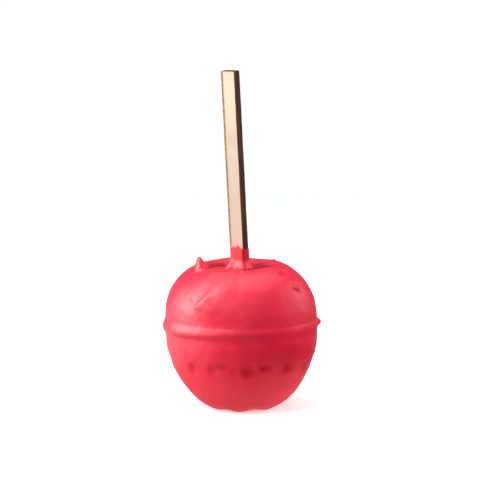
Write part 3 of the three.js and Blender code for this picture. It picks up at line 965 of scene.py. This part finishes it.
# The face is pale in the middle, golden along one edge and light along the other.
def makeWoodMaterial():
    material, tree, shader = newMaterial("scorchedPaleWood")
    place = readAttribute(tree, "stickPlace", "Vector")
    parts = addNode(tree, "ShaderNodeSeparateXYZ", Vector=place)
    sideways = parts.outputs["X"]
    across = calculate(tree, "ABSOLUTE", sideways)
    along = parts.outputs["Z"]
    stretch = addNode(tree, "ShaderNodeMapping", Vector=place, Scale=wood["stretch"])
    grain = blotches(tree, stretch.outputs["Vector"], *wood["grain"])
    patches = blotches(tree, place, *wood["patches"])
    flecks = blotches(tree, place, *wood["flecks"])
    face = mixColours(tree, patches, wood["face"], wood["faceDull"])
    face = mixColours(tree, calculate(tree, "MULTIPLY", grain, wood["grainShare"]), face, wood["faceDull"])
    face = mixColours(tree, remap(tree, along, *wood["lowReach"], 1, 0), face, wood["faceLow"])
    high = remap(tree, along, *wood["topReach"], 0, wood["topShare"])
    face = mixColours(tree, high, face, wood["faceTop"])
    half = stick["width"] / 2 * mm
    end = stick["length"] * mm
    light = remap(tree, sideways, *reachesFrom(half, wood["lightEdge"]))
    lightEnd = remap(tree, along, *reachesFrom(end, wood["lightEnd"]))
    face = mixColours(tree, calculate(tree, "MAXIMUM", light, lightEnd), face, wood["halo"])
    golden = mixColours(tree, flecks, wood["golden"], wood["goldenDull"])
    goldenEdge = remap(tree, sideways, *reachesFrom(-half, wood["goldenEdge"]), 1, 0)
    face = mixColours(tree, goldenEdge, face, golden)
    stain = remap(tree, along, *wood["stainReach"], wood["stainShare"], 0)
    face = mixColours(tree, stain, face, wood["stained"])
    streaks = blotches(tree, stretch.outputs["Vector"], *wood["streaks"])
    burnt = mixColours(tree, streaks, wood["scorch"], wood["ember"])
    # the corner next to the shown face is charred less
    forward = calculate(tree, "MULTIPLY", parts.outputs["Y"], -1)
    corner = stick["thickness"] / 2 * mm
    lessCharred = remap(tree, forward, *reachesFrom(corner, wood["cornerEdge"]), 0, wood["cornerShare"])
    burnt = mixColours(tree, lessCharred, burnt, wood["corner"])
    # the cut sides and ends are scorched, and the burn creeps just over the edges
    cutSide = remap(tree, across, *reachesFrom(half, wood["cutEdge"]))
    cutEnd = remap(tree, along, *reachesFrom(end, wood["cutEnd"]))
    scorched = calculate(tree, "MAXIMUM", cutSide, cutEnd)
    colour = mixColours(tree, scorched, face, burnt)
    tree.links.new(colour, shader.inputs["Base Color"])
    shader.inputs["Roughness"].default_value = wood["roughness"]
    shader.inputs["Specular IOR Level"].default_value = 0.2
    relief = addNode(tree, "ShaderNodeBump", Strength=wood["bumpStrength"],
                     Distance=wood["bumpHeight"], Height=grain)
    tree.links.new(relief.outputs["Normal"], shader.inputs["Normal"])
    return material


coatPiece = makeCoat()
coatPiece.data.materials.append(makeCoatingMaterial())
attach(coatPiece, "root")
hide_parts("coated_apple")
print("coat made:", len(coatPiece.data.polygons), "faces")

stickPiece = makeStick()
stickPiece.data.materials.append(makeWoodMaterial())
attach(stickPiece, "root")
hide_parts("stick")
print("stick made:", len(stickPiece.data.polygons), "faces")

# The studio: a white floor and world to the camera, and six soft lamps.
studio = {
    "floorRadius": 0.75,
    "floorColour": (0.9, 0.96, 0.96, 1),
    "floorGlow": (0.3, 0.35, 0.35, 1),
    "nearGlow": (0.8, 0.4, 0.4, 1),  # painted bounce light: the floor glows red close to the apple
    "nearReach": 0.075,
    "farGlow": (1.0, 1.0, 1.0, 1),  # and glows farther out, behind and at the left
    "farAzimuth": 135,
    "farSpread": -0.5,  # cosine of the angle from that azimuth at which it fades out
    "farReach": 0.6,
    "farFade": 0.3,
    "glowEdge": 0.012,
    "worldSeen": 1.0,
    "worldLight": 0.1,
    "lightCentre": (0, 0, 0.04),
    "lightDistance": 1.0,
    "lights": [  # name, azimuth, elevation, width, height, radiance, shown in highlights
        ("key", 180, 14, 0.8, 0.35, 8.5, True),
        ("upperLeft", 212, 42, 0.9, 0.6, 5.0, True),
        ("overhead", 0, 90, 1.1, 1.1, 1.5, True),
        ("right", 20, 20, 0.6, 0.4, 2.0, True),
        ("fillRight", 10, 15, 0.6, 0.4, 8.0, False),
        ("fillFront", 275, 20, 0.6, 0.4, 5.5, False),
    ],
    "camera": {"distance": 1.6, "elevation": 9.0, "target": (-0.0005, 0, 0.0846), "span": 0.24},
}


# Cosine of the angle round the floor between a place and an azimuth.
def towards(tree, place, azimuth):
    direction = (math.cos(math.radians(azimuth)), math.sin(math.radians(azimuth)), 0)
    unit = addNode(tree, "ShaderNodeVectorMath", {"operation": "NORMALIZE"}, i0=place)
    dot = addNode(tree, "ShaderNodeVectorMath", {"operation": "DOT_PRODUCT"},
                  i0=unit.outputs[0], i1=direction)
    return dot.outputs["Value"]


# The camera sees a plain white floor. To the apple the floor is black and glows instead, a
# painted bounce light: red close to it and bright behind and at the left.
def makeFloor():
    bm = bmesh.new()
    bmesh.ops.create_circle(bm, cap_ends=True, segments=96, radius=studio["floorRadius"])
    floor = meshObject("studioFloor", bm)
    material, tree, shader = newMaterial("whiteFloor")
    seen = addNode(tree, "ShaderNodeLightPath").outputs["Is Camera Ray"]
    place = addNode(tree, "ShaderNodeTexCoord").outputs["Object"]
    away = addNode(tree, "ShaderNodeVectorMath", {"operation": "LENGTH"}, i0=place).outputs["Value"]
    edge = studio["glowEdge"]
    share = remap(tree, towards(tree, place, studio["farAzimuth"]), studio["farSpread"], 1)
    inReach = remap(tree, away, studio["farReach"] - studio["farFade"], studio["farReach"], 1, 0)
    share = calculate(tree, "MULTIPLY", share, inReach)
    far = mixColours(tree, share, (0, 0, 0, 1), studio["farGlow"])
    near = remap(tree, away, studio["nearReach"] - edge, studio["nearReach"] + edge, 1, 0)
    glow = mixColours(tree, near, far, studio["nearGlow"])
    tree.links.new(mixColours(tree, seen, (0, 0, 0, 1), studio["floorColour"]), shader.inputs["Base Color"])
    tree.links.new(mixColours(tree, seen, glow, studio["floorGlow"]), shader.inputs["Emission Color"])
    shader.inputs["Emission Strength"].default_value = 1.0
    shader.inputs["Roughness"].default_value = 0.9
    shader.inputs["Specular IOR Level"].default_value = 0.0
    floor.data.materials.append(material)


# The world is white to the camera and gives only a little even light.
def makeWorld():
    world = bpy.data.worlds.new("studioWorld")
    world.use_nodes = True
    bpy.context.scene.world = world
    tree = world.node_tree
    background = tree.nodes["Background"]
    seen = addNode(tree, "ShaderNodeLightPath").outputs["Is Camera Ray"]
    strength = addNode(tree, "ShaderNodeMix", {"data_type": "FLOAT"},
                       i0=seen, i2=studio["worldLight"], i3=studio["worldSeen"])
    tree.links.new(strength.outputs[0], background.inputs["Strength"])
    background.inputs["Color"].default_value = (1, 1, 1, 1)


def aimAt(thing, place, target):
    thing.location = place
    look = Vector(target) - Vector(place)
    thing.rotation_euler = look.to_track_quat("-Z", "Y").to_euler()


def makeLights():
    centre = Vector(studio["lightCentre"])
    for name, azimuth, elevation, width, height, radiance, inHighlights in studio["lights"]:
        light = bpy.data.lights.new(name, "AREA")
        light.shape = "RECTANGLE"
        light.size, light.size_y = width, height
        light.energy = radiance * math.pi * width * height
        lamp = bpy.data.objects.new(name, light)
        lamp.visible_glossy = inHighlights
        bpy.context.scene.collection.objects.link(lamp)
        turn, rise = math.radians(azimuth), math.radians(elevation)
        away = Vector((math.cos(turn) * math.cos(rise), math.sin(turn) * math.cos(rise), math.sin(rise)))
        aimAt(lamp, centre + away * studio["lightDistance"], centre)


def makeCamera():
    view = studio["camera"]
    data = bpy.data.cameras.new("studioCamera")
    data.sensor_width = 36
    data.lens = 36 * view["distance"] / view["span"]
    data.clip_end = 20
    camera = bpy.data.objects.new("studioCamera", data)
    bpy.context.scene.collection.objects.link(camera)
    angle = math.radians(view["elevation"])
    back = Vector((0, -math.cos(angle), math.sin(angle)))
    target = Vector(view["target"])
    aimAt(camera, target + back * view["distance"], target)
    bpy.context.scene.camera = camera


makeFloor()
makeWorld()
makeLights()
makeCamera()
bpy.context.scene.view_settings.view_transform = "Standard"
print("studio made")
